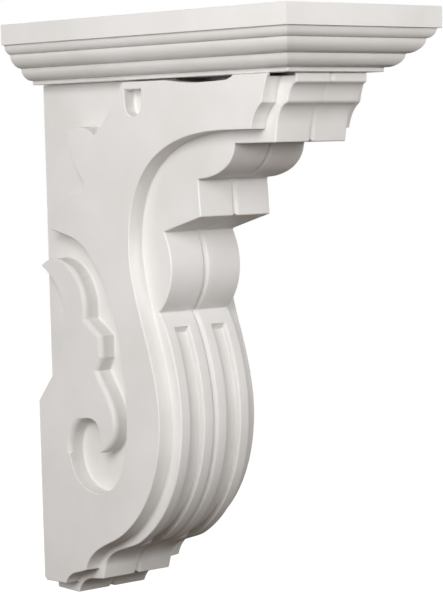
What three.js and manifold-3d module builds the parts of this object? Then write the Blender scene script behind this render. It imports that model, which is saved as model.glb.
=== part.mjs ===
// Scroll corbel: a cast body with fluted belly, scrolled cheeks and a separate moulded cap.
// Millimetres, +Z up. The wall is the plane y = 0, the corbel stands out towards -Y,
// and the origin is the middle of the wall face.
import * as THREE from 'three';
import { mergeVertices } from 'three/addons/utils/BufferGeometryUtils.js';
import Module from 'manifold-3d';

const wasm = await Module();
wasm.setup();

// Overall size
const totalHeight = 610;
const seam = 0.3; // clearance between the cap and the body

// Cap
const capBack = 4; // the cap stops this far short of the wall
const capWidth = 217;
const capDepth = 428;
const capHeight = 63.5;
const fasciaHeight = 21.5;
const quirk = 3.8; // set-back of the first round below the fascia
const rounds = [ // run and drop of each round, from the top
  { run: 7.5, drop: 10 },
  { run: 14.5, drop: 14.5 },
  { run: 13.5, drop: 13 },
];
const filletSetback = 1.9;

// Core: the slab that carries the front profile
const coreHalf = 49.6;
const bodyTop = capHeight + seam;
const crownOut = 384.5;
const crownBottom = 131;
const blockOut = 241;
const lobeOut = 197.5;
const bellyOut = 206.5;
const bellyDown = 412;
const footOut = 75;
const footEdge = 34; // reach of the foot's lowest edge
const bodyTaper = 0.04; // share of its width that the body loses from top to bottom

// Cheeks: the raised work on both flanks of the core
const cheekHalf = 69.6;
const cheekOut = 366;
const cheekTop = 65.6; // the cheek stops short of the cap and leaves a dark slit
const cheekBottom = 597.5;

// Flutes and centre groove
const fluteMiddle = 26.4;
const fluteWidth = 20;
const fluteDepth = 6;
const fluteTop = 320;
const fluteBottom = 550;
const fluteSteps = 60;
const grooveWidth = 5.5;
const grooveDepth = 2.8;

// Slot at the head of the leaf, nearly through to the core, and the scoop that the slit under
// the cap opens into, which deepens evenly towards the front
const slot = { start: 154.5, end: 180, startDepth: 19.5, endDepth: 19.5 };
const scoop = { start: 247, end: 316, startDepth: 0, endDepth: 13 };

const curveSteps = 9;
const capCurveSteps = 5;
const overlap = 3; // how far a cutting solid runs past the face that it cuts
const white = { color: 0xe8e5e0, roughness: 0.62, metalness: 0 };

// Outlines are drawn as (distance out from the wall, distance down from the cap's top).
// This turns that drawing upright, with the extrusion's depth along +X.
const upright = new THREE.Matrix4()
  .makeBasis(new THREE.Vector3(0, -1, 0), new THREE.Vector3(0, 0, -1), new THREE.Vector3(1, 0, 0))
  .setPosition(0, 0, totalHeight / 2);

function toSolid(geometry) {
  geometry.deleteAttribute('normal');
  geometry.deleteAttribute('uv');
  const merged = mergeVertices(geometry, 1e-4);
  return new wasm.Manifold(new wasm.Mesh({
    numProp: 3,
    vertProperties: new Float32Array(merged.attributes.position.array),
    triVerts: new Uint32Array(merged.index.array),
  }));
}

function toGeometry(solid) {
  const mesh = solid.getMesh();
  const geometry = new THREE.BufferGeometry();
  geometry.setAttribute('position', new THREE.BufferAttribute(mesh.vertProperties, 3));
  geometry.setIndex(new THREE.BufferAttribute(mesh.triVerts, 1));
  geometry.computeVertexNormals();
  return geometry;
}

// A slab of an outline between two x planes, given in either order
function slab(shape, from, to, steps = curveSteps) {
  const settings = { depth: Math.abs(to - from), bevelEnabled: false, curveSegments: steps };
  const geometry = new THREE.ExtrudeGeometry(shape, settings);
  geometry.translate(0, 0, Math.min(from, to));
  return geometry.applyMatrix4(upright);
}

// Front profile of the core, from the cap to the foot
function drawFront(path) {
  path.lineTo(crownOut, bodyTop);
  path.lineTo(crownOut, 73.5);
  path.quadraticCurveTo(374.5, 76, 371.5, 92.5); // upper cove
  path.lineTo(370, 93.2);
  path.quadraticCurveTo(357.5, 97, 356, 117.8); // lower cove
  path.lineTo(355, 118.4);
  path.lineTo(353.5, crownBottom);
  path.lineTo(296, crownBottom);
  path.bezierCurveTo(294, 152, 272, 165, blockOut, 166); // ovolo
  path.lineTo(blockOut + 2.5, 204);
  path.lineTo(187.5, 219.5);
  path.bezierCurveTo(193.5, 231, lobeOut, 243, lobeOut, 256); // lobe
  path.bezierCurveTo(lobeOut, 274, 190.5, 291, 176.5, 303);
  drawBelly(path);
  path.lineTo(footOut, 591);
  path.lineTo(55, 593);
  path.quadraticCurveTo(40, 595.5, footEdge, totalHeight); // cove of the foot
}

// The long S of the belly, from the crease under the lobe to the upright of the foot
function drawBelly(path) {
  path.bezierCurveTo(192, 322, bellyOut, 372, bellyOut, bellyDown);
  path.bezierCurveTo(bellyOut, 462, 188.5, 515, 136, 546);
  path.bezierCurveTo(119, 556, 82, 556, footOut + 3.5, 580);
}

function coreShape() {
  const shape = new THREE.Shape();
  shape.moveTo(0, bodyTop);
  drawFront(shape);
  shape.lineTo(0, totalHeight - 2);
  return shape;
}

// Front edge of the cheek, the core's own S drawn back towards the wall
function drawCheekFront(path) {
  path.quadraticCurveTo(358.5, 78, 356, 92);
  path.lineTo(350.5, 96.5);
  path.quadraticCurveTo(343, 104, 340, 117.5);
  path.lineTo(304.5, 117.5);
  path.bezierCurveTo(209, 117.5, 154.5, 152, 154.5, 237);
  path.bezierCurveTo(154.5, 290, 194, 350, 194, 412);
  path.bezierCurveTo(194, 475, 161, 526, 111.5, 546);
  path.bezierCurveTo(91, 553.5, 74.5, 563.5, 70, 579.5);
  path.lineTo(58, 583);
  path.quadraticCurveTo(41, 586, 35.5, cheekBottom);
}

// The raised work of the cheek: front band, scroll, gutter and leaf in one outline
function cheekShape() {
  const shape = new THREE.Shape();
  shape.moveTo(151, cheekTop);
  shape.lineTo(scoop.end - 2, cheekTop);
  shape.lineTo(scoop.end, bodyTop);
  shape.lineTo(cheekOut, bodyTop);
  drawCheekFront(shape);
  shape.lineTo(3.5, cheekBottom);
  shape.lineTo(0, cheekBottom - 3.5);
  shape.lineTo(0, 402);
  drawScroll(shape);
  drawGutter(shape);
  drawLeaf(shape);
  return shape;
}

// Scroll: up its wall side to the tip, over the head, down to the tongue and round the eye
function drawScroll(path) {
  path.lineTo(22.5, 375.5);
  path.bezierCurveTo(35.5, 358.5, 45, 335.5, 48, 315.5);
  path.bezierCurveTo(49.5, 290.5, 32, 268.5, 11, 256.5);
  path.quadraticCurveTo(19, 249.5, 33.5, 248.5);
  path.bezierCurveTo(57.5, 248.5, 82, 270.5, 82, 300.5);
  path.lineTo(81, 311.5);
  path.lineTo(105.5, 328.5);
  path.lineTo(106, 351.5);
  path.lineTo(97.5, 365.5);
  path.bezierCurveTo(108, 382.5, 125, 400.5, 125, 420.5);
  path.bezierCurveTo(125, 437.5, 114.5, 449.5, 99, 452);
  path.quadraticCurveTo(102.5, 431.5, 94.5, 421.5);
  path.bezierCurveTo(85, 410.5, 49.5, 417, 49.5, 450);
  path.bezierCurveTo(49.5, 475, 64.5, 495, 92, 495);
}

// Far side of the gutter, from under the eye up to the wall
function drawGutter(path) {
  path.bezierCurveTo(125.5, 495, 141, 465.5, 142.5, 425.5);
  path.bezierCurveTo(144.5, 385.5, 136.5, 345.5, 131.5, 320.5);
  path.bezierCurveTo(120.5, 285.5, 95.5, 233, 60, 225);
  path.quadraticCurveTo(43.5, 220, 28, 218);
}

// Wall side of the leaf, in three lobes, up to the slit under the cap
function drawLeaf(path) {
  path.bezierCurveTo(33.5, 200, 52, 183, 77.5, 179.5);
  path.quadraticCurveTo(86.5, 177.5, 85, 169);
  path.bezierCurveTo(76.5, 154, 61.5, 146, 61, 112);
  path.lineTo(83, 110);
  path.quadraticCurveTo(96, 111, 103.5, 119);
  path.lineTo(115.5, 110);
  path.quadraticCurveTo(136, 88, 151, cheekTop);
}

function slotShape() {
  const shape = new THREE.Shape();
  shape.moveTo(slot.start, 73.5);
  shape.lineTo(slot.end, 73.5);
  shape.lineTo(slot.end - 1, 92);
  shape.quadraticCurveTo(176.5, 100, 166.5, 101);
  shape.quadraticCurveTo(156, 99, 155, 90);
  return shape;
}

function scoopShape() {
  const shape = new THREE.Shape();
  shape.moveTo(scoop.start, capHeight - overlap);
  shape.lineTo(scoop.start, 73);
  shape.quadraticCurveTo(272, 69.5, 303, 68.6);
  shape.quadraticCurveTo(311, 68, scoop.end, bodyTop);
  shape.lineTo(scoop.end, capHeight - overlap);
  return shape;
}

// Strip of even thickness that follows the belly, for cutting a flute
function fluteShape() {
  const path = new THREE.Path();
  path.moveTo(176.5, 303);
  drawBelly(path);
  const inFlute = (point) => point.y > fluteTop && point.y < fluteBottom;
  const samples = path.getSpacedPoints(fluteSteps).filter(inFlute);
  const inner = [];
  const outer = [];
  for (let i = 0; i < samples.length; i++) {
    const before = samples[Math.max(i - 1, 0)];
    const after = samples[Math.min(i + 1, samples.length - 1)];
    const along = after.clone().sub(before).normalize();
    const outward = new THREE.Vector2(along.y, -along.x);
    inner.push(samples[i].clone().addScaledVector(outward, -fluteDepth));
    outer.push(samples[i].clone().addScaledVector(outward, fluteDepth));
  }
  return new THREE.Shape([...inner, ...outer.reverse()]);
}

// V groove down the middle of the front, one short V prism for each straight of the outline
function centreGroove() {
  const path = new THREE.Path();
  path.moveTo(crownOut, bodyTop - 1);
  drawFront(path);
  const points = path.getPoints(curveSteps);
  const vee = new THREE.Shape([
    new THREE.Vector2(0, -grooveDepth),
    new THREE.Vector2(grooveWidth, grooveDepth),
    new THREE.Vector2(-grooveWidth, grooveDepth),
  ]);
  const shortest = 0.5;
  let groove = null;
  for (let i = 1; i < points.length; i++) {
    const along = points[i].clone().sub(points[i - 1]);
    const length = along.length();
    if (length < shortest) continue;
    along.normalize();
    const prism = new THREE.ExtrudeGeometry(vee, { depth: length + grooveDepth, bevelEnabled: false });
    prism.translate(0, 0, -grooveDepth / 2);
    const ahead = new THREE.Vector3(0, -along.x, -along.y);
    const outward = new THREE.Vector3(0, -along.y, along.x);
    const across = new THREE.Vector3().crossVectors(outward, ahead);
    prism.applyMatrix4(new THREE.Matrix4().makeBasis(across, outward, ahead)
      .setPosition(0, -points[i - 1].x, totalHeight / 2 - points[i - 1].y));
    const piece = toSolid(prism);
    groove = groove ? groove.add(piece) : piece;
  }
  return groove;
}

// Cutter for a hollow in the cheek's face, with a floor that may slant
function hollowCutter(shape, hollow, side) {
  const geometry = slab(shape, 0, side);
  const position = geometry.attributes.position;
  const middle = 0.5;
  for (let i = 0; i < position.count; i++) {
    const reached = (-position.getY(i) - hollow.start) / (hollow.end - hollow.start);
    const floor = cheekHalf - hollow.startDepth - reached * (hollow.endDepth - hollow.startDepth);
    const isMouth = Math.abs(position.getX(i)) > middle;
    position.setX(i, side * (isMouth ? cheekHalf + overlap : floor));
  }
  return geometry;
}

// Narrow the body evenly from its top to its foot
function taperBody(geometry) {
  const position = geometry.attributes.position;
  for (let i = 0; i < position.count; i++) {
    const reached = (totalHeight / 2 - bodyTop - position.getZ(i)) / (totalHeight - bodyTop);
    position.setX(i, position.getX(i) * (1 - bodyTaper * reached));
  }
  return geometry;
}

function bodyGeometry() {
  let body = toSolid(slab(coreShape(), -coreHalf, coreHalf));
  body = body.add(toSolid(slab(cheekShape(), -cheekHalf, cheekHalf)));
  for (const side of [-1, 1]) {
    const middle = side * fluteMiddle;
    const flute = slab(fluteShape(), middle - fluteWidth / 2, middle + fluteWidth / 2);
    body = body.subtract(toSolid(flute));
    body = body.subtract(toSolid(hollowCutter(slotShape(), slot, side)));
    body = body.subtract(toSolid(hollowCutter(scoopShape(), scoop, side)));
  }
  return taperBody(toGeometry(body.subtract(centreGroove())));
}

// Edge of the cap seen from the end, inwards and down from its outer face
function drawCapEdge(path, outerFace, inward) {
  let setback = 0;
  let down = fasciaHeight;
  path.lineTo(outerFace, 0);
  path.lineTo(outerFace, down);
  setback += quirk;
  path.lineTo(outerFace + inward * setback, down);
  for (const { run, drop } of rounds) {
    const startX = outerFace + inward * setback;
    const endX = outerFace + inward * (setback + run);
    path.bezierCurveTo(startX, down + drop * 0.55, endX - inward * run * 0.45, down + drop, endX, down + drop);
    setback += run;
    down += drop;
  }
  setback += filletSetback;
  path.lineTo(outerFace + inward * setback, down);
  path.lineTo(outerFace + inward * setback, capHeight);
}

// Cap: the side profile and the front profile cross, which mitres the corners
function capGeometry() {
  const capFront = capBack + capDepth;
  const sideProfile = new THREE.Shape();
  sideProfile.moveTo(capBack, 0);
  drawCapEdge(sideProfile, capFront, -1);
  sideProfile.lineTo(capBack, capHeight);
  const along = toSolid(slab(sideProfile, -capWidth, capWidth, capCurveSteps));

  const right = new THREE.Path();
  right.moveTo(0, 0);
  drawCapEdge(right, capWidth / 2, -1);
  const half = right.getPoints(capCurveSteps).slice(1);
  const left = half.map((point) => new THREE.Vector2(-point.x, point.y)).reverse();
  const frontShape = new THREE.Shape([...half, ...left]);
  const across = new THREE.ExtrudeGeometry(frontShape, { depth: 2 * capFront, bevelEnabled: false });
  across.applyMatrix4(new THREE.Matrix4()
    .makeBasis(new THREE.Vector3(1, 0, 0), new THREE.Vector3(0, 0, -1), new THREE.Vector3(0, 1, 0))
    .setPosition(0, -1.5 * capFront, totalHeight / 2));
  return toGeometry(along.intersect(toSolid(across)));
}

function piece(name, geometry) {
  const mesh = new THREE.Mesh(geometry, new THREE.MeshStandardMaterial(white));
  mesh.name = name;
  return mesh;
}

const corbel = new THREE.Group();
corbel.add(piece('corbel_body', bodyGeometry()));
corbel.add(piece('cap', capGeometry()));

export default corbel;
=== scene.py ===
import math

import bmesh
import bpy
from mathutils import Matrix, Vector


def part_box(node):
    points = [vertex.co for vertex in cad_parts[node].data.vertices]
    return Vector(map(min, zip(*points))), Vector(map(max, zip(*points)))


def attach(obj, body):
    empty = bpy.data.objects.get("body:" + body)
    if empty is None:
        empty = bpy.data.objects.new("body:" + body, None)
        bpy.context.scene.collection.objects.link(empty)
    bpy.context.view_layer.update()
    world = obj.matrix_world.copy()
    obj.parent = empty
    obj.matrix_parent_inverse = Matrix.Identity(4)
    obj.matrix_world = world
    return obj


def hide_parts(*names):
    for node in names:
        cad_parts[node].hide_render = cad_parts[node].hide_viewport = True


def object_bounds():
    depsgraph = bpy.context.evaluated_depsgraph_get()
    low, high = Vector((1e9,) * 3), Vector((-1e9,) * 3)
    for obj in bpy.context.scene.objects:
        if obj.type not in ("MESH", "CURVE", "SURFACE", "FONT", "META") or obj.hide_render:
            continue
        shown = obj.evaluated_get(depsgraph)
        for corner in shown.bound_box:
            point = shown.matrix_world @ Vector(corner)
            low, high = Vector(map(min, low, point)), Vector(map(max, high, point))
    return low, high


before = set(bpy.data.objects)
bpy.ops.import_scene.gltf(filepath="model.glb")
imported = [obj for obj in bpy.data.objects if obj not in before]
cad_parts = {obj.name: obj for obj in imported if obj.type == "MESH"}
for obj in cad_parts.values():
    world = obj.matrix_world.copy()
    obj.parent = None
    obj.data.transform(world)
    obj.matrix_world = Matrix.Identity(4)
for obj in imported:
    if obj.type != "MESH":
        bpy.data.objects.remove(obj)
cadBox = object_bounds()
mm = 0.001
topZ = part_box("cap")[1][2]  # outlines are drawn downwards from here
print("frame loaded")


# Outlines. A point is (distance out from the wall, distance down from the cap's top), in millimetres.
# A segment is the points after its start: one for a line, two for a quadratic curve, three for a cubic.
drawing = {
    "fewestSteps": 4,               # in a curve
    "joined": 0.01,                 # mm, nearer than which two ends are one
    "cornerFrom": math.radians(14),     # bend from which a point is a corner, and is rounded
    "arcSteps": 3,                  # in a rounded corner
    "mostTrim": 0.45,               # share of a line that one corner's rounding may take
    "leastMitre": 0.3,              # keeps a very sharp corner from moving too far in an inset
    "sharpFrom": 1,                 # radians, from where a corner wants the curve beside it cleared
    "mostBend": 2.6,                # radians that the clearing reckons with
    "clearance": 2.3,               # times the rounding's reach
    "neighbours": 6,                # points each way that are looked at
}
quarterTurn = (0, 22.5, 45, 67.5, 90)   # degrees, the steps that a rounding is lofted in


def place(x, point):
    return Vector((x * mm, -point[0] * mm, topZ - point[1] * mm))


def curvePoint(controls, t):
    points = [Vector(c) for c in controls]
    while len(points) > 1:
        points = [a.lerp(b, t) for a, b in zip(points, points[1:])]
    return points[0]


def drawPath(start, segments, stepLength):
    points = [Vector(start)]
    for segment in segments:
        if len(segment) == 1:
            points.append(Vector(segment[0]))
            continue
        controls = [points[-1], *segment]
        reach = sum((Vector(a) - Vector(b)).length for a, b in zip(controls, controls[1:]))
        steps = max(drawing["fewestSteps"], round(reach / stepLength))
        points += [curvePoint(controls, i / steps) for i in range(1, steps + 1)]
    if (points[-1] - points[0]).length < drawing["joined"]:
        points.pop()  # the outline closes by itself
    return points


# Leaves out the points of a curve that would be in the way of a sharp corner's rounding
def clearCorners(points, radius):
    count = len(points)
    reaches = []
    for i, here in enumerate(points):
        bend = (here - points[i - 1]).angle(points[(i + 1) % count] - here)
        reach = drawing["clearance"] * radius * math.tan(min(bend, drawing["mostBend"]) / 2)
        reaches.append(reach if bend > drawing["sharpFrom"] else 0)

    def isClear(j):
        span = drawing["neighbours"]
        near = [i % count for i in range(j - span, j + span + 1)]
        return reaches[j] > 0 or all((points[j] - points[i]).length >= reaches[i] for i in near)

    return [points[j] for j in range(count) if isClear(j)]


# Rounds the corners of a closed outline and gives each point the way that an inset moves it
def softenOutline(points, radius):
    points = clearCorners(points, radius)
    steps = drawing["arcSteps"]
    softened = []
    for i, here in enumerate(points):
        before = points[i - 1]
        after = points[(i + 1) % len(points)]
        along = (here - before).normalized()
        onwards = (after - here).normalized()
        normalA = Vector((-along.y, along.x))
        normalB = Vector((-onwards.y, onwards.x))
        inward = (normalA + normalB) / max(drawing["leastMitre"], 1 + normalA.dot(normalB))
        bend = along.angle(onwards, 0)
        if bend < drawing["cornerFrom"]:
            softened.append((here, inward))
            continue
        shorter = min((here - before).length, (after - here).length)
        trim = min(radius * math.tan(bend / 2), drawing["mostTrim"] * shorter)
        corner = [here - along * trim, here, here + onwards * trim]
        softened += [(curvePoint(corner, k / steps), inward) for k in range(steps + 1)]
    return softened


# Lofts an outline through rings. A ring is a function that gives each point of the outline its x and its
# inset. leastOut and leastDown hold every point in front of the wall and under the cap.
def loftOutline(name, outline, rings, leastOut=None, leastDown=None):
    bm = bmesh.new()
    rowLayer = bm.verts.layers.int.new("row")

    def ringPlace(ring, row):
        point, inward = outline[row]
        x, inset = ring(point, inward)
        moved = point + inward * inset
        if leastOut is not None:
            moved.x = max(moved.x, leastOut)
        if leastDown is not None:
            moved.y = max(moved.y, leastDown)
        return place(x, moved)

    verts = [bm.verts.new(ringPlace(rings[0], row)) for row in range(len(outline))]
    for row, vert in enumerate(verts):
        vert[rowLayer] = row
    edges = [bm.edges.new((verts[i - 1], verts[i])) for i in range(len(verts))]
    ends = list(edges)
    for ring in rings[1:]:
        made = bmesh.ops.extrude_edge_only(bm, edges=edges)["geom"]
        for vert in made:
            if isinstance(vert, bmesh.types.BMVert):
                vert.co = ringPlace(ring, vert[rowLayer])
        edges = [e for e in made if isinstance(e, bmesh.types.BMEdge) and e.is_boundary]
    for loop in (ends, edges):
        bmesh.ops.contextual_create(bm, geom=loop)
    bmesh.ops.recalc_face_normals(bm, faces=bm.faces)
    return meshObject(name, bm)


def meshObject(name, bm):
    mesh = bpy.data.meshes.new(name)
    bm.to_mesh(mesh)
    bm.free()
    obj = bpy.data.objects.new(name, mesh)
    bpy.context.scene.collection.objects.link(obj)
    return obj


# Joins or cuts with an exact boolean and keeps the result as plain mesh
def combine(target, tool, operation):
    cut = target.modifiers.new(operation.lower(), "BOOLEAN")
    cut.operation = operation
    cut.solver = "EXACT"
    cut.object = tool
    bpy.context.view_layer.update()
    evaluated = target.evaluated_get(bpy.context.evaluated_depsgraph_get())
    result = bpy.data.meshes.new_from_object(evaluated)
    target.modifiers.clear()
    spare = target.data
    target.data = result
    bpy.data.meshes.remove(spare)
    bpy.data.objects.remove(tool)
    return target


# Shades a piece smooth up to a bend of 34 degrees, with its broad faces kept flat
def finishSmooth(obj):
    for polygon in obj.data.polygons:
        polygon.use_smooth = True
    obj.data.set_sharp_from_angle(angle=math.radians(34))
    weighted = obj.modifiers.new("weighted normals", "WEIGHTED_NORMAL")
    weighted.keep_sharp = True
    weighted.weight = 80


# Body

body = {
    "height": 610,
    "top": 63.8,              # under the cap, with a hair of clearance
    "taper": 0.04,            # share of its width that the body loses from top to foot
    "step": 2.4,              # length of the straights that a curve is drawn with

    "coreHalf": 49.6,         # half width of the slab that carries the front profile
    "coreArris": 1.6,         # rounding of the front's outer arrises
    "coreCorner": 1.8,        # rounding of the corners of the front's outline
    "flatBack": 2,            # out from the wall, as far as which the carving leaves the back alone
    "flatTop": 1,             # down from the top, likewise

    "grooveDepth": 2.8,
    "grooveSection": [(0, 1), (1.2, 0.74), (2.5, 0.36), (3.6, 0.12), (5, 0)],  # across, share of the depth
    "crownFill": 0.55,        # share of the groove that primer fills on the crown
    "crownFrom": (65, 68),    # down, between a notch in the top edge
    "crownTo": (122, 129),    # and one in the lower edge
    "upperFill": 0.25,        # and what fills it
    "upperTo": (205, 225),    # down to the foot of the block

    "fluteEdges": (16.4, 36.4),
    "fluteDepth": 6,
    "fluteSide": [(-1.4, 0), (-0.6, 0.03), (-0.1, 0.12), (0.3, 0.35), (0.6, 0.72), (1.1, 0.93), (2.2, 1)],
    "fluteTop": (318.5, 321), # down, where a flute's head begins and reaches its depth
    "fluteEnd": (116, 126),   # out, where it runs out above the foot
    "footFrom": 500,          # down, from where that end counts
    "bands": (10, 43),        # across, on the plain bands beside a flute

    "cheekHalf": 69.6,        # half width over the raised cheeks
    "cheekArris": 1.1,        # rounding of the cheeks' arrises
    "cheekCorner": 1.1,       # and of the corners of the cheek's outline
    "scrollArris": 6,         # of the scroll's outer edge, which is much rounder
    "scrollOut": 130,         # the scroll lies nearer the wall than this
    "scrollDown": (240, 456),
    "scrollTurn": (0.1, 0.7), # how far the outline faces away from the wall where that rounding grows
    "junction": 2.2,          # hollow where a cheek rises from the core
    "crispShare": 0.2,        # share of it that is left under the long arc's head
    "crispTo": (125, 190),    # down, where it grows to the whole
    "rootDepth": 1.1,         # of the cheek's root inside the core
    "rootClearance": 0.12,    # the hollow's foot stands just off the core, so that the two join cleanly
}

frontProfile = [
    [(384.5, 63.8)], [(384.5, 71.4)], [(384.4, 73.4), (382.2, 74.1)],
    [(375, 77), (371.9, 89.8)], [(371.2, 92.9), (368, 93.9)],       # upper cove
    [(358, 98), (355.8, 116)], [(353.5, 131)], [(296, 131)],        # lower cove
    [(294, 152), (272, 165), (241, 166)],                           # ovolo
    [(243.5, 204)], [(187.5, 219.5)],                               # block
    [(193.5, 231), (197.5, 243), (197.5, 256)],                     # lobe
    [(197.5, 274), (190.5, 291), (176.5, 303)],
    [(192, 322), (206.5, 372), (206.5, 412)],                       # belly
    [(206.5, 462), (188.5, 515), (136, 546)],
    [(119, 556), (82, 556), (78.5, 580)],
    [(75, 591)], [(55, 593)], [(40, 595.5), (34, 610)], [(0, 608)],  # foot
]

cheekStart = (151, 65.6)
cheekProfile = [
    [(314, 65.6)], [(316, 63.8)], [(366, 63.8)],                    # top, with the slit under the cap
    [(358.5, 78), (356, 92)], [(350.5, 96.5)], [(343, 104), (340, 117.5)], [(304.5, 117.5)],
    [(209, 117.5), (154.5, 152), (154.5, 237)],                     # long arc
    [(154.5, 290), (194, 350), (194, 412)],
    [(194, 475), (161, 526), (111.5, 546)],
    [(91, 553.5), (74.5, 563.5), (70, 579.5)],
    [(58, 583)], [(41, 586), (35.5, 597.5)], [(3.5, 597.5)], [(0, 594)], [(0, 402)],
    [(22.5, 375.5)],                                                # scroll, up to its tip
    [(35.5, 358.5), (45, 335.5), (48, 315.5)],
    [(49.5, 290.5), (32, 268.5), (11, 256.5)],
    [(19, 249.5), (33.5, 248.5)],
    [(57.5, 248.5), (82, 270.5), (82, 300.5)],
    [(81, 311.5)], [(105.5, 328.5)], [(106, 351.5)], [(97.5, 365.5)],
    [(108, 382.5), (125, 400.5), (125, 420.5)],                     # tongue
    [(125, 437.5), (114.5, 449.5), (99, 452)],
    [(102.5, 431.5), (94.5, 421.5)],                                # eye
    [(85, 410.5), (49.5, 417), (49.5, 450)],
    [(49.5, 475), (64.5, 495), (92, 495)],
    [(125.5, 495), (141, 465.5), (142.5, 425.5)],                   # gutter
    [(144.5, 385.5), (136.5, 345.5), (131.5, 320.5)],
    [(120.5, 285.5), (95.5, 233), (60, 225)],
    [(43.5, 220), (28, 218)],
    [(33.5, 200), (52, 183), (77.5, 179.5)],                        # leaf
    [(86.5, 177.5), (85, 169)],
    [(76.5, 154), (61.5, 146), (61, 112)],
    [(83, 110)], [(96, 111), (103.5, 119)], [(115.5, 110)],
    [(136, 88), cheekStart],
]


def smoothRise(value, low, high):
    t = min(1, max(0, (value - low) / (high - low)))
    return t * t * (3 - 2 * t)


# Depth of the carving across the front: a soft V in the middle and a flat-floored flute on each side.
# A station is (x, depth of the groove, depth of the flute, depth of the arris's rounding).
def frontStations():
    arris, half = body["coreArris"], body["coreHalf"]
    inner, outer = body["fluteEdges"]
    innerBand, outerBand = body["bands"]
    flute = body["fluteDepth"]
    stations = [(x, share * body["grooveDepth"], 0, 0) for x, share in body["grooveSection"]]
    stations.append((innerBand, 0, 0, 0))
    stations += [(inner + x, 0, share * flute, 0) for x, share in body["fluteSide"]]
    stations.append(((inner + outer) / 2, 0, flute, 0))
    stations += [(outer - x, 0, share * flute, 0) for x, share in reversed(body["fluteSide"])]
    stations.append((outerBand, 0, 0, 0))
    for turn in (0, 30, 60, 90):
        a = math.radians(turn)
        stations.append((half - arris * (1 - math.sin(a)), 0, 0, arris * (1 - math.cos(a))))
    mirrored = [(-x, *depths) for x, *depths in reversed(stations[1:])]
    return mirrored + stations


def coreRing(x, groove, flute, rounding):
    def ring(point, inward):
        fade = smoothRise(point.y, *body["fluteTop"])
        if point.y > body["footFrom"]:
            fade = smoothRise(point.x, *body["fluteEnd"])
        onCrown = smoothRise(point.y, *body["crownFrom"]) - smoothRise(point.y, *body["crownTo"])
        aboveLobe = 1 - smoothRise(point.y, *body["upperTo"])
        filled = body["crownFill"] * onCrown + body["upperFill"] * aboveLobe
        return x, groove * (1 - filled) + flute * fade + rounding
    return ring


def makeCore():
    points = drawPath((0, body["top"]), frontProfile, body["step"])
    held = []
    for point, inward in softenOutline(points, body["coreCorner"]):
        if point.x < body["flatBack"]:
            inward = Vector((0, 0))
        elif point.y < body["top"] + body["flatTop"]:
            inward = Vector((inward.x, 0))
        held.append((point, inward))
    rings = [coreRing(*station) for station in frontStations()]
    return loftOutline("corbelBody", held, rings, leastDown=body["top"])


# Rounding of the cheek's arris: full on the scroll's outer edge, where the outline faces away from the wall
def arrisAt(point, inward):
    top, foot = body["scrollDown"]
    onScroll = point.x < body["scrollOut"] and top < point.y < foot
    share = smoothRise(-inward.normalized().x, *body["scrollTurn"]) if onScroll else 0
    return body["cheekArris"] + share * (body["scrollArris"] - body["cheekArris"])


def cheekRing(side, level, turn):
    base = body["coreHalf"] + body["rootClearance"]
    crisp = body["crispShare"]
    a = math.radians(turn)

    def ring(point, inward):
        junction = body["junction"] * (crisp + (1 - crisp) * smoothRise(point.y, *body["crispTo"]))
        if level == "root":
            return side * (base - body["rootDepth"]), -junction
        if level == "hollow":
            return side * (base + junction * (1 - math.cos(a))), -junction * (1 - math.sin(a))
        arris = arrisAt(point, inward)
        return side * (body["cheekHalf"] - arris * (1 - math.sin(a))), arris * (1 - math.cos(a))
    return ring


def makeCheek(side):
    outline = softenOutline(drawPath(cheekStart, cheekProfile, body["step"]), body["cheekCorner"])
    rings = [cheekRing(side, "root", 0)]
    rings += [cheekRing(side, "hollow", turn) for turn in quarterTurn]
    rings += [cheekRing(side, "arris", turn) for turn in quarterTurn]
    return loftOutline("cheek", outline, rings, leastOut=0, leastDown=body["top"])


# Hollows in the cheek's face: the slot at the head of the leaf, and the wedge that the slit under the cap
# opens into, which runs far in, so that it is dark
slot = {
    "start": (154.5, 73.5),
    "profile": [[(180, 73.5)], [(179, 92)], [(176.5, 100), (166.5, 101)], [(156, 99), (155, 90)]],
    "corner": 0.8,         # rounding of its outline's corners
    "depth": 14,
    "floorRounding": 2,
    "flare": 1.6,          # rounding of the mouth
    "past": 2,             # how far the cutter stands past the face
}
wedge = {
    "start": (212, 58),
    "profile": [[(316, 58)], [(316, 63.8)], [(311, 68), (303, 68.6)], [(282, 69.2), (262, 69.6)],
                [(240, 69), (212, 65)]],
    "corner": 0.8,
    "depth": 60,
    "floorRounding": 2,
    "flare": 0.9,
    "past": 2,
}


def hollowRing(side, hollow, level, turn):
    a = math.radians(turn)
    face = body["cheekHalf"]
    rounding = -hollow["flare"]
    if level == "floor":
        face -= hollow["depth"]
        rounding = hollow["floorRounding"]
    elif level == "past":
        face += hollow["past"]
    x = face + rounding * (1 - math.sin(a))

    def ring(point, inward):
        return side * x, rounding * (1 - math.cos(a))
    return ring


def makeHollow(side, hollow):
    outline = softenOutline(drawPath(hollow["start"], hollow["profile"], body["step"]), hollow["corner"])
    rings = [hollowRing(side, hollow, "floor", turn) for turn in reversed(quarterTurn)]
    rings += [hollowRing(side, hollow, "mouth", turn) for turn in quarterTurn]
    rings.append(hollowRing(side, hollow, "past", 90))
    return loftOutline("hollow", outline, rings)


# The dark gap left under the cap in the corner between cheek and crown
cornerGap = {
    "down": (60, 66.9),
    "open": {"across": (36, 75), "out": (365.2, 383)},
    "inside": {"across": (36.5, 66), "out": (345, 366)},    # behind the cheek's front edge
}


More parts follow.
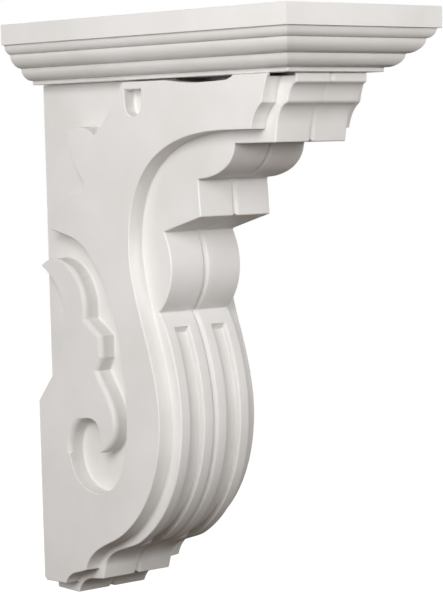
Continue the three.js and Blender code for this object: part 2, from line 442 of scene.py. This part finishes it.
def makeCornerGap(side, part):
    x = sorted(across * side for across in cornerGap[part]["across"])
    near, far = cornerGap[part]["out"]
    high, low = cornerGap["down"]
    corners = place(x[0], (far, low)), place(x[1], (near, high))
    bm = bmesh.new()
    bmesh.ops.create_cube(bm, size=1)
    bmesh.ops.scale(bm, vec=corners[1] - corners[0], verts=bm.verts)
    bmesh.ops.translate(bm, vec=(corners[0] + corners[1]) / 2, verts=bm.verts)
    return meshObject("cornerGap", bm)


def makeBody():
    core = makeCore()
    print("core lofted")
    for side in (-1, 1):
        combine(core, makeCheek(side), "UNION")
        for hollow in (slot, wedge):
            combine(core, makeHollow(side, hollow), "DIFFERENCE")
        for part in ("open", "inside"):
            combine(core, makeCornerGap(side, part), "DIFFERENCE")
        print("cheek joined, side", side)
    span = body["height"] - body["top"]
    for vert in core.data.vertices:
        down = (topZ - vert.co.z) / mm
        vert.co.x *= 1 - body["taper"] * (down - body["top"]) / span
    core.data.update()
    return core


# Cap

cap = {
    "back": 4,            # it stops this far short of the wall
    "halfWidth": 108.5,
    "depth": 428,
    "height": 63.5,
    "fascia": 21.5,
    "quirk": 3.8,
    "rounds": [(7.5, 10), (14.5, 14.5), (13.5, 13)],   # run and drop of each, from the top
    "fullness": 0.55,     # of a round: where its curve's control points lie
    "fillet": 1.9,
    "corner": 0.7,        # rounding of the moulding's own arrises
    "step": 1.6,          # length of the straights that a round is drawn with
    "farInside": 60,      # where the profile is closed while its corners are rounded
}


# Profile of the cap's edge as (set back from the outer face, down)
def capEdge():
    setBack, down = cap["quirk"], cap["fascia"]
    segments = [[(0, down)], [(setBack, down)]]
    for run, drop in cap["rounds"]:
        start = (setBack, down + drop * cap["fullness"])
        end = (setBack + run * cap["fullness"], down + drop)
        segments.append([start, end, (setBack + run, down + drop)])
        setBack += run
        down += drop
    setBack += cap["fillet"]
    segments += [[(setBack, down)], [(setBack, cap["height"])]]
    points = drawPath((0, 0), segments, cap["step"])
    points += [Vector((cap["farInside"], cap["height"])), Vector((cap["farInside"], 0))]
    outline = [point for point, inward in softenOutline(points, cap["corner"])]
    face = setBack + drawing["joined"]
    underside = cap["height"] - drawing["joined"]
    return [p for p in outline if p.x < face or (p.y > underside and p.x < face + cap["corner"])]


def makeCap():
    edge = capEdge()
    bm = bmesh.new()
    inwardLayer = bm.verts.layers.float_vector.new("inward")
    bmesh.ops.create_grid(bm, x_segments=1, y_segments=1, size=0.5)
    backY, frontY = -cap["back"] * mm, -(cap["back"] + cap["depth"]) * mm
    for vert in bm.verts:
        side = math.copysign(1, vert.co.x)
        atBack = vert.co.y > 0
        inward = Vector((-side, 0 if atBack else 1, 0))  # the back edge stays where it is
        vert[inwardLayer] = inward
        vert.co = Vector((side * cap["halfWidth"] * mm, backY if atBack else frontY, topZ))
        vert.co += inward * edge[0].x * mm
    # the moulding goes round three sides, and the back is filled in as one flat face
    edges = [e for e in bm.edges if any(vert[inwardLayer].y > 0 for vert in e.verts)]
    for before, point in zip(edge, edge[1:]):
        move = point - before
        made = bmesh.ops.extrude_edge_only(bm, edges=edges)["geom"]
        ring = [vert for vert in made if isinstance(vert, bmesh.types.BMVert)]
        for vert in ring:
            way = vert[inwardLayer]
            vert.co += Vector((way.x * move.x, way.y * move.x, -move.y)) * mm
        edges = [e for e in made if isinstance(e, bmesh.types.BMEdge) and all(v in ring for v in e.verts)]
    edges.append(bm.edges.new([vert for vert in ring if vert[inwardLayer].y == 0]))
    bmesh.ops.contextual_create(bm, geom=edges)
    bmesh.ops.contextual_create(bm, geom=[e for e in bm.edges if e.is_boundary])
    bmesh.ops.recalc_face_normals(bm, faces=bm.faces)
    return meshObject("corbelCap", bm)


# Lump of filler left on the fillet's front left corner
lump = {
    "radii": (2, 1.8, 1.1),
    "inside": 0.6,        # its middle lies this far inside the fillet's faces
    "above": 1.4,         # and this far above the cap's underside
}


def makeLump():
    bm = bmesh.new()
    bmesh.ops.create_icosphere(bm, subdivisions=3, radius=1)
    bmesh.ops.scale(bm, vec=[radius * mm for radius in lump["radii"]], verts=bm.verts)
    reach = cap["quirk"] + sum(run for run, drop in cap["rounds"]) + cap["fillet"] + lump["inside"]
    out = cap["back"] + cap["depth"] - reach
    middle = place(reach - cap["halfWidth"], (out, cap["height"] - lump["above"]))
    bmesh.ops.translate(bm, vec=middle, verts=bm.verts)
    return meshObject("lump", bm)


# Materials

def linearColour(hexColour):
    channels = [int(hexColour[i:i + 2], 16) / 255 for i in (1, 3, 5)]
    return (*[c / 12.92 if c <= 0.04045 else ((c + 0.055) / 1.055) ** 2.4 for c in channels], 1)


# Adds a node: a setting is one of its inputs where it has one of that name, and else one of its properties
def addNode(tree, kind, settings=None, **links):
    node = tree.nodes.new(kind)
    for name, value in (settings or {}).items():
        if name in node.inputs:
            node.inputs[name].default_value = value
        else:
            setattr(node, name, value)
    for name, source in links.items():
        tree.links.new(source, node.inputs[name])
    return node


# Dense polyurethane cast in a mould, then sprayed with an off-white primer: satin-matte, with a faint orange
# peel from the spray, a few pinholes from the casting and a slow drift of tone where the primer lies thicker.
primer = {
    "thick": "#E6E4E2",
    "thin": "#DFDDDA",
    "ior": 1.47,
    "roughness": (0.42, 0.56),
    "driftSize": 90,          # mm from one tone to the next
    "driftEnds": (0.35, 0.65),    # of the noise, where the tone is all thin and all thick
    "peelSize": 1.6,          # mm across a bump of the spray; finer in truth, drawn as coarse as shows
    "peelHeight": 0.03,       # mm
    "peelStrength": 0.6,
    "pinholeSpacing": 26,     # mm
    "pinholeSize": 0.45,      # mm across
    "pinholeRim": (0.6, 1.6), # of its radius, where a pinhole's wall ends and begins
    "pinholeDepth": 4,        # times the peel's height
}


def primedUrethane(name, seed):
    material = bpy.data.materials.new(name)
    material.use_nodes = True
    tree = material.node_tree
    shader = tree.nodes["Principled BSDF"]
    shader.inputs["IOR"].default_value = primer["ior"]
    where = addNode(tree, "ShaderNodeTexCoord").outputs["Object"]
    shift = {"Location": (seed, seed * 0.7, 0)}     # so that no two pieces show the same patch
    moved = addNode(tree, "ShaderNodeMapping", shift, Vector=where).outputs["Vector"]
    drift = addNode(tree, "ShaderNodeTexNoise",
                    {"Scale": 1000 / primer["driftSize"], "Detail": 5, "Roughness": 0.55}, Vector=moved)
    tone = addNode(tree, "ShaderNodeValToRGB", Fac=drift.outputs["Fac"])
    for stop, position, coat in zip(tone.color_ramp.elements, primer["driftEnds"], ("thin", "thick")):
        stop.position = position
        stop.color = linearColour(primer[coat])
    tree.links.new(tone.outputs["Color"], shader.inputs["Base Color"])
    low, high = primer["roughness"]
    gloss = addNode(tree, "ShaderNodeMapRange", {"To Min": low, "To Max": high}, Value=drift.outputs["Fac"])
    tree.links.new(gloss.outputs["Result"], shader.inputs["Roughness"])
    peel = addNode(tree, "ShaderNodeTexNoise",
                   {"Scale": 1000 / primer["peelSize"], "Detail": 2, "Roughness": 0.5}, Vector=moved)
    holes = addNode(tree, "ShaderNodeTexVoronoi", {"Scale": 1000 / primer["pinholeSpacing"]}, Vector=moved)
    radius = primer["pinholeSize"] / 2 / primer["pinholeSpacing"]
    floorEdge, rimEdge = (radius * share for share in primer["pinholeRim"])
    sides = {"From Min": floorEdge, "From Max": rimEdge, "To Min": -primer["pinholeDepth"], "To Max": 0}
    rim = addNode(tree, "ShaderNodeMapRange", sides, Value=holes.outputs["Distance"])
    height = addNode(tree, "ShaderNodeMath", {"operation": "ADD"})
    tree.links.new(peel.outputs["Fac"], height.inputs[0])
    tree.links.new(rim.outputs["Result"], height.inputs[1])
    relief = {"Strength": primer["peelStrength"], "Distance": primer["peelHeight"] * mm}
    bump = addNode(tree, "ShaderNodeBump", relief, Height=height.outputs["Value"])
    tree.links.new(bump.outputs["Normal"], shader.inputs["Normal"])
    return material


# Pieces

bodyPiece = makeBody()
finishSmooth(bodyPiece)
bodyPiece.data.materials.clear()
bodyPiece.data.materials.append(primedUrethane("primed moulded polyurethane, body", 0.13))
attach(bodyPiece, "root")
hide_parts("corbel_body")
print("body done,", len(bodyPiece.data.polygons), "faces")

capPiece = combine(makeCap(), makeLump(), "UNION")
finishSmooth(capPiece)
capPiece.data.materials.clear()
capPiece.data.materials.append(primedUrethane("primed moulded polyurethane, cap", 0.57))
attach(capPiece, "root")
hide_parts("cap")
print("cap done,", len(capPiece.data.polygons), "faces")


# Stage

stage = {
    "floorDrop": 320,             # mm below the corbel's foot, which hangs from a wall
    "floorSize": 14,              # m
    "floorColour": "#F6F5F3",
    "floorRoughness": 0.9,
    "floorGlow": 0.9,             # the paper is lit from below as well, so that it stays white
    "wallBehind": "#FFFFFF",      # the pale wall that the camera looks at
    "wallInFront": "#3E3C3A",     # the dark room behind the camera
    "ceiling": "#807F7D",
    "underneath": "#5C5148",      # what the undersides see: the dim, warm lower part of the room
    "wallHeights": (0.36, 0.4, 0.57, 0.66),    # from straight down, 0, to straight up, 1
    "lookingWay": (0.68, 0.73, 0),
    "turn": 0.3,                  # how soon one wall gives way to the other round the sides
}

softboxes = {
    "left, high": {"azimuth": -61, "elevation": 23, "distance": 1.9, "size": 1.0, "power": 22},
    "left, low": {"azimuth": -85, "elevation": 5, "distance": 1.7, "size": 0.8, "power": 8},
    "front": {"azimuth": 5, "elevation": 15, "distance": 1.9, "size": 0.8, "power": 16},
}


def floorPaper():
    material = bpy.data.materials.new("white studio paper")
    material.use_nodes = True
    shader = material.node_tree.nodes["Principled BSDF"]
    shader.inputs["Base Color"].default_value = linearColour(stage["floorColour"])
    shader.inputs["Roughness"].default_value = stage["floorRoughness"]
    shader.inputs["Emission Color"].default_value = linearColour(stage["floorColour"])
    shader.inputs["Emission Strength"].default_value = stage["floorGlow"]
    return material


def layFloor():
    bm = bmesh.new()
    bmesh.ops.create_grid(bm, x_segments=1, y_segments=1, size=stage["floorSize"] / 2)
    bmesh.ops.translate(bm, vec=(0, 0, cadBox[0].z - stage["floorDrop"] * mm), verts=bm.verts)
    floor = meshObject("floor", bm)
    floor.data.materials.append(floorPaper())
    floor.visible_diffuse = False  # its bounce is left to the sky's lower half
    floor.visible_glossy = False


# Colours of the room by height, one ramp for each wall, mixed by the way that is looked in
def lightSky():
    world = bpy.data.worlds.new("studio")
    bpy.context.scene.world = world
    world.use_nodes = True
    tree = world.node_tree
    way = addNode(tree, "ShaderNodeTexCoord").outputs["Generated"]
    up = addNode(tree, "ShaderNodeSeparateXYZ", Vector=way).outputs["Z"]
    height = addNode(tree, "ShaderNodeMapRange", {"From Min": -1, "From Max": 1}, Value=up)
    below, wallFoot, wallHead, above = stage["wallHeights"]
    walls = []
    for wall in ("wallBehind", "wallInFront"):
        room = addNode(tree, "ShaderNodeValToRGB", {"name": wall}, Fac=height.outputs["Result"])
        stops = room.color_ramp.elements
        stops[0].position = below
        stops[0].color = linearColour(stage["underneath"])
        stops[1].position = above
        stops[1].color = linearColour(stage["ceiling"])
        for position in (wallFoot, wallHead):
            stops.new(position).color = linearColour(stage[wall])
        walls.append(room.outputs["Color"])
    ahead = addNode(tree, "ShaderNodeVectorMath", {"operation": "DOT_PRODUCT"})
    tree.links.new(way, ahead.inputs[0])
    ahead.inputs[1].default_value = stage["lookingWay"]
    blend = addNode(tree, "ShaderNodeMapRange", {"From Min": stage["turn"], "From Max": -stage["turn"]},
                    Value=ahead.outputs["Value"])
    both = addNode(tree, "ShaderNodeMix", {"data_type": "RGBA"})
    tree.links.new(blend.outputs["Result"], both.inputs[0])
    tree.links.new(walls[0], both.inputs[6])    # the mix node's two colours
    tree.links.new(walls[1], both.inputs[7])
    tree.links.new(both.outputs[2], tree.nodes["Background"].inputs["Color"])


# The way from the corbel back to a light or camera at that azimuth and elevation, both in radians
def backward(azimuth, elevation):
    level = math.cos(elevation)
    return Vector((math.sin(azimuth) * level, -math.cos(azimuth) * level, math.sin(elevation)))


def addSoftbox(name, azimuth, elevation, distance, size, power):
    light = bpy.data.lights.new(name, "AREA")
    light.shape = "DISK"
    light.size = size
    light.energy = power
    box = bpy.data.objects.new(name, light)
    back = backward(math.radians(azimuth), math.radians(elevation))
    box.rotation_euler = (-back).to_track_quat("-Z", "Y").to_euler()
    box.location = (cadBox[0] + cadBox[1]) / 2 + back * distance
    bpy.context.scene.collection.objects.link(box)


layFloor()
lightSky()
for boxName, settings in softboxes.items():
    addSoftbox(boxName, **settings)


# Camera, fitted to the photograph: 43 degrees round to the left, 3.5 above, with a slight roll
view = {
    "eye": (-1716.8, -2051.3, 172.9),   # mm
    "azimuth": -43.14,
    "elevation": 3.534,
    "roll": -1.352,
    "lens": 148.6,                      # mm
    "sensor": 36,                       # mm along the photograph's upright side
}


def addCamera():
    data = bpy.data.cameras.new("camera")
    data.lens = view["lens"]
    data.sensor_width = view["sensor"]
    camera = bpy.data.objects.new("camera", data)
    azimuth, elevation, roll = (math.radians(view[key]) for key in ("azimuth", "elevation", "roll"))
    back = backward(azimuth, elevation)
    level = (-back).cross(Vector((0, 0, 1))).normalized()
    upright = level.cross(-back)
    right = level * math.cos(roll) + upright * math.sin(roll)
    up = upright * math.cos(roll) - level * math.sin(roll)
    turned = Matrix((right, up, back)).transposed().to_4x4()
    camera.matrix_world = Matrix.Translation(Vector(view["eye"]) * mm) @ turned
    bpy.context.scene.collection.objects.link(camera)
    bpy.context.scene.camera = camera


addCamera()
bpy.context.scene.view_settings.view_transform = "Standard"
print("stage lit")
